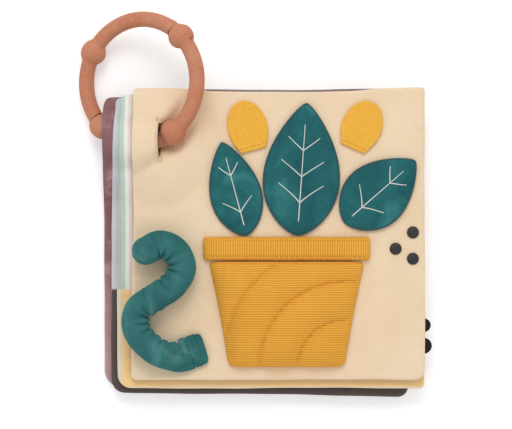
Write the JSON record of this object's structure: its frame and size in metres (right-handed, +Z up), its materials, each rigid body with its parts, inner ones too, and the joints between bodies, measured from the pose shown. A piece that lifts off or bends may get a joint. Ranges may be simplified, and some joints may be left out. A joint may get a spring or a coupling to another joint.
{
  "type": "soft activity card set",
  "caption": "Square padded cloth activity cards threaded by a buttonhole on an openable plastic ring, with a puffed pot, leaves, lift-up flaps and a stuffed tendril.",
  "frame": {"origin": "centre of the back card's underside, where the set lies", "axes": "+X to the right of the cover, +Y to its top, where the ring is, +Z up out of the cover"},
  "size_m": [0.1961, 0.2117, 0.038],
  "materials": {
    "cream_cotton": "plain woven cotton, matt",
    "peach_cotton": "plain woven cotton, matt",
    "mint_cotton": "plain woven cotton, matt",
    "white_cotton": "plain woven cotton, matt",
    "dark_plum_cotton": "plain woven cotton, matt",
    "plum_velour": "velour, short pile with a soft sheen",
    "wadding_fleece": "lofty fleece",
    "terracotta_plastic": "moulded, matt with fine speckle",
    "pin_steel": "drawn wire",
    "teal_velour": "velour, short pile with a soft sheen",
    "yellow_corduroy": "fine-ribbed corduroy",
    "yellow_felt": "pressed felt",
    "dark_thread": "satin-stitched thread",
    "black_felt": "pressed felt"
  },
  "bodies": {
    "back_card": {"back_card_front_panel": "plum_velour", "back_card_back_panel": "plum_velour", "back_card_wadding": "wadding_fleece"},
    "ring": {"ring_card_half": "terracotta_plastic", "ring_hinge_pin": "pin_steel"},
    "gate": {"ring_gate": "terracotta_plastic"},
    "third_card": {"third_card_front_panel": "white_cotton", "third_card_back_panel": "dark_plum_cotton", "third_card_wadding": "wadding_fleece"},
    "second_card": {"second_card_front_panel": "mint_cotton", "second_card_back_panel": "peach_cotton", "second_card_wadding": "wadding_fleece", "upper_edge_tab": "black_felt", "lower_edge_tab": "black_felt"},
    "front_card": {"front_card_front_panel": "cream_cotton", "front_card_back_panel": "white_cotton", "front_card_wadding": "wadding_fleece", "left_leaf": "teal_velour", "middle_leaf": "teal_velour", "right_leaf": "teal_velour", "berry_dot_1": "dark_thread", "berry_dot_2": "dark_thread", "berry_dot_3": "dark_thread", "pot_cover": "yellow_corduroy", "pot_filling": "wadding_fleece", "pot_rim_band": "yellow_corduroy"},
    "tendril": {"tendril_sleeve": "teal_velour", "tendril_filling": "wadding_fleece"},
    "left_bud": {"left_bud_flap": "yellow_felt"},
    "right_bud": {"right_bud_flap": "yellow_felt"}
  },
  "joints": [
    {"name": "ring_swivel", "type": "hinge", "parent": "back_card", "child": "ring", "pos_m": [-0.0693, 0.05784, 0], "axis": [0, 0, 1], "range_deg": [-12, 12], "deforming": ["back_card_front_panel", "back_card_back_panel"]},
    {"name": "third_card_fan", "type": "hinge", "parent": "ring", "child": "third_card", "pos_m": [-0.0649, 0.05724, 0], "axis": [0, 0, 1], "range_deg": [-15, 12], "deforming": ["third_card_front_panel", "third_card_back_panel"]},
    {"name": "second_card_fan", "type": "hinge", "parent": "ring", "child": "second_card", "pos_m": [-0.0613, 0.05727, 0], "axis": [0, 0, 1], "range_deg": [-15, 12], "deforming": ["second_card_front_panel", "second_card_back_panel"]},
    {"name": "front_card_fan", "type": "hinge", "parent": "ring", "child": "front_card", "pos_m": [-0.0531, 0.05908, 0], "axis": [0, 0, 1], "range_deg": [-15, 12], "deforming": ["front_card_front_panel", "front_card_back_panel"]},
    {"name": "ring_gate_hinge", "type": "hinge", "parent": "ring", "child": "gate", "pos_m": [-0.04104, 0.11554, 0.02972], "axis": [0.4147, 0, -0.91], "range_deg": [0, 50]},
    {"name": "tendril_lift", "type": "hinge", "parent": "front_card", "child": "tendril", "pos_m": [-0.0352, -0.05705, 0.0289], "axis": [0, 1, 0], "range_deg": [0, 60]},
    {"name": "left_bud_lift", "type": "hinge", "parent": "front_card", "child": "left_bud", "pos_m": [-0.0012, 0.05345, 0.0212], "axis": [0.9659, 0.2588, 0], "range_deg": [0, 70]},
    {"name": "right_bud_lift", "type": "hinge", "parent": "front_card", "child": "right_bud", "pos_m": [0.0528, 0.05445, 0.0212], "axis": [0.9135, -0.4067, 0], "range_deg": [0, 70]}
  ]
}
